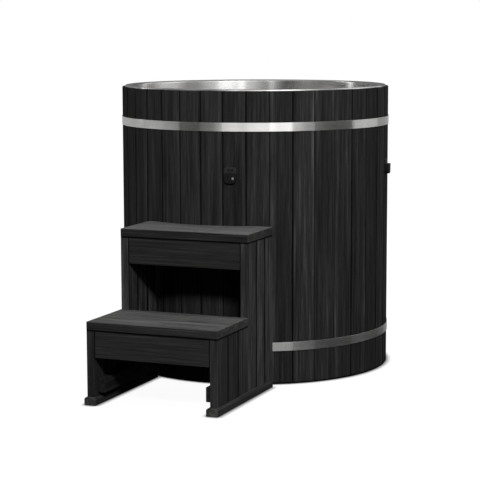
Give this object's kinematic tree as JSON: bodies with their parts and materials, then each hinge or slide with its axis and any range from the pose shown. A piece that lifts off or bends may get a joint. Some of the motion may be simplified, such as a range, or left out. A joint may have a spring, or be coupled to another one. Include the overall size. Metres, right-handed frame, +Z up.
{
  "type": "cold plunge tub",
  "caption": "Round upright cold plunge tub of dark stained staves with a steel liner, hoops, strap locks, a drain valve and loose steps in front.",
  "frame": {"origin": "the tub's axis on the floor it stands on", "axes": "+Z up, -Y towards the steps and the side the picture is taken from, +X to the right from there"},
  "size_m": [1.0794, 1.699, 1.096],
  "materials": {
    "stained_wood": "dark stained softwood, satin",
    "plain_wood": "bare planed softwood",
    "foam": "closed-cell foam, given the light density of fabric",
    "liner_steel": "brushed stainless sheet",
    "hoop_steel": "rolled stainless band",
    "fitting_steel": "turned stainless",
    "seal_rubber": "black rubber",
    "grip_plastic": "black dipped grip",
    "lock_plastic": "black moulded plastic",
    "lock_metal": "plated lock barrel"
  },
  "bodies": {
    "tub": {"base_bearer_front": "plain_wood", "base_bearer_middle": "plain_wood", "base_bearer_rear": "plain_wood", "floor_boards": "plain_wood", "floor_insulation": "foam", "wall_insulation": "foam", "liner_floor": "liner_steel", "liner_wall": "liner_steel", "upper_hoop": "hoop_steel", "lower_hoop": "hoop_steel", "hoop_bolts": "hoop_steel", "hoop_nuts": "hoop_steel", "staves_front": "stained_wood", "staves_right": "stained_wood", "staves_rear": "stained_wood", "staves_left": "stained_wood", "lock_housing_front": "lock_plastic", "lock_housing_right": "lock_plastic", "lock_housing_rear": "lock_plastic", "lock_housing_left": "lock_plastic", "drain_gasket": "seal_rubber", "drain_flange": "fitting_steel", "drain_strainer": "fitting_steel", "drain_locknut": "fitting_steel", "drain_sump": "fitting_steel", "wall_collar": "seal_rubber", "valve_body": "fitting_steel", "drain_spigot": "fitting_steel"},
    "steps": {"foot_rail_left": "stained_wood", "short_boards_left": "stained_wood", "tall_boards_left": "stained_wood", "foot_batten_left": "stained_wood", "lower_tread_batten_left": "stained_wood", "upper_tread_batten_left": "stained_wood", "foot_rail_right": "stained_wood", "short_boards_right": "stained_wood", "tall_boards_right": "stained_wood", "foot_batten_right": "stained_wood", "lower_tread_batten_right": "stained_wood", "upper_tread_batten_right": "stained_wood", "lower_tread_front": "stained_wood", "lower_tread_middle": "stained_wood", "lower_tread_rear": "stained_wood", "upper_tread_front": "stained_wood", "upper_tread_middle": "stained_wood", "upper_tread_rear": "stained_wood", "lower_apron": "stained_wood", "upper_apron": "stained_wood"},
    "drain_lever": {"valve_plug": "fitting_steel", "valve_stem": "fitting_steel", "valve_lever": "fitting_steel", "lever_grip": "grip_plastic", "lever_nut": "fitting_steel"},
    "lock_key_front": {"lock_barrel_front": "lock_metal"},
    "lock_key_right": {"lock_barrel_right": "lock_metal"},
    "lock_key_rear": {"lock_barrel_rear": "lock_metal"},
    "lock_key_left": {"lock_barrel_left": "lock_metal"}
  },
  "joints": [
    {"name": "steps_set_aside", "type": "slide", "parent": "tub", "child": "steps", "axis": [0, -1, 0], "range_m": [0, 0.5]},
    {"name": "drain_lever_turn", "type": "hinge", "parent": "tub", "child": "drain_lever", "pos_m": [-0.0416, 0.59996, 0.09], "axis": [0, 0, -1], "range_deg": [0, 90]},
    {"name": "lock_key_turn_front", "type": "hinge", "parent": "tub", "child": "lock_key_front", "pos_m": [0.1222, -0.52641, 0.772], "axis": [-0.2324, 0.9726, 0], "range_deg": [0, 90]},
    {"name": "lock_key_turn_right", "type": "hinge", "parent": "tub", "child": "lock_key_right", "pos_m": [0.53471, 0.07832, 0.772], "axis": [-0.9885, -0.1513, 0], "range_deg": [0, 90]},
    {"name": "lock_key_turn_rear", "type": "hinge", "parent": "tub", "child": "lock_key_rear", "pos_m": [-0.1222, 0.52641, 0.772], "axis": [0.2324, -0.9726, 0], "range_deg": [0, 90]},
    {"name": "lock_key_turn_left", "type": "hinge", "parent": "tub", "child": "lock_key_left", "pos_m": [-0.53471, -0.07832, 0.772], "axis": [0.9885, 0.1513, 0], "range_deg": [0, 90]}
  ]
}
